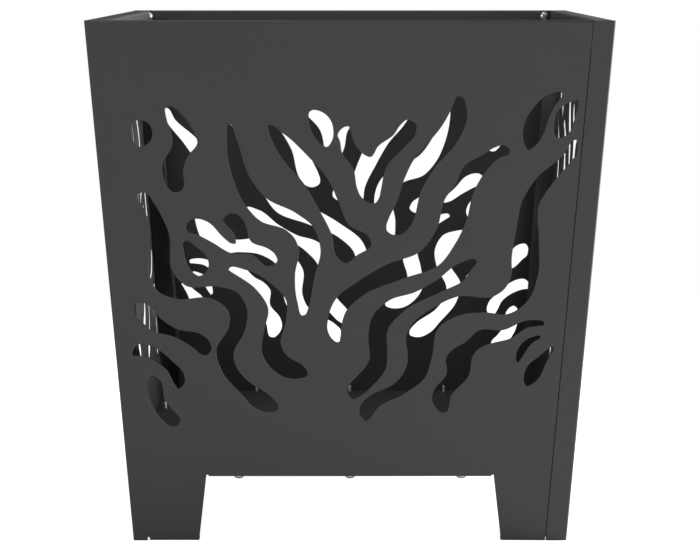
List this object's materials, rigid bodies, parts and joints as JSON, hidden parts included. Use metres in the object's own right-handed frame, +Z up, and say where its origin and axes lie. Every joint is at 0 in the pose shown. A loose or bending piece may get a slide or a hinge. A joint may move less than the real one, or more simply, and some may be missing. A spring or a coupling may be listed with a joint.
{
  "type": "square steel fire pit",
  "caption": "Square fire pit of folded sheet steel, tapering down to short corner legs, open at the top, with flame-shaped slots through each side and a raised floor plate.",
  "frame": {"origin": "on the ground, under the middle of the fire pit", "axes": "+Z up, -Y out of the front panel, +X to the right of someone who faces it"},
  "size_m": [0.48, 0.48, 0.49],
  "materials": {
    "coated_sheet": "satin anthracite powder coat",
    "zinc_fasteners": "bright zinc plate"
  },
  "bodies": {
    "root": {"front_panel": "coated_sheet", "right_panel": "coated_sheet", "back_panel": "coated_sheet", "left_panel": "coated_sheet", "floor_plate": "coated_sheet", "front_floor_screw_left": "zinc_fasteners", "front_floor_screw_middle": "zinc_fasteners", "front_floor_screw_right": "zinc_fasteners", "front_rim_bolt": "zinc_fasteners", "front_rim_nut": "zinc_fasteners", "right_floor_screw_left": "zinc_fasteners", "right_floor_screw_middle": "zinc_fasteners", "right_floor_screw_right": "zinc_fasteners", "right_rim_bolt": "zinc_fasteners", "right_rim_nut": "zinc_fasteners", "back_floor_screw_left": "zinc_fasteners", "back_floor_screw_middle": "zinc_fasteners", "back_floor_screw_right": "zinc_fasteners", "back_rim_bolt": "zinc_fasteners", "back_rim_nut": "zinc_fasteners", "left_floor_screw_left": "zinc_fasteners", "left_floor_screw_middle": "zinc_fasteners", "left_floor_screw_right": "zinc_fasteners", "left_rim_bolt": "zinc_fasteners", "left_rim_nut": "zinc_fasteners"}
  },
  "joints": []
}
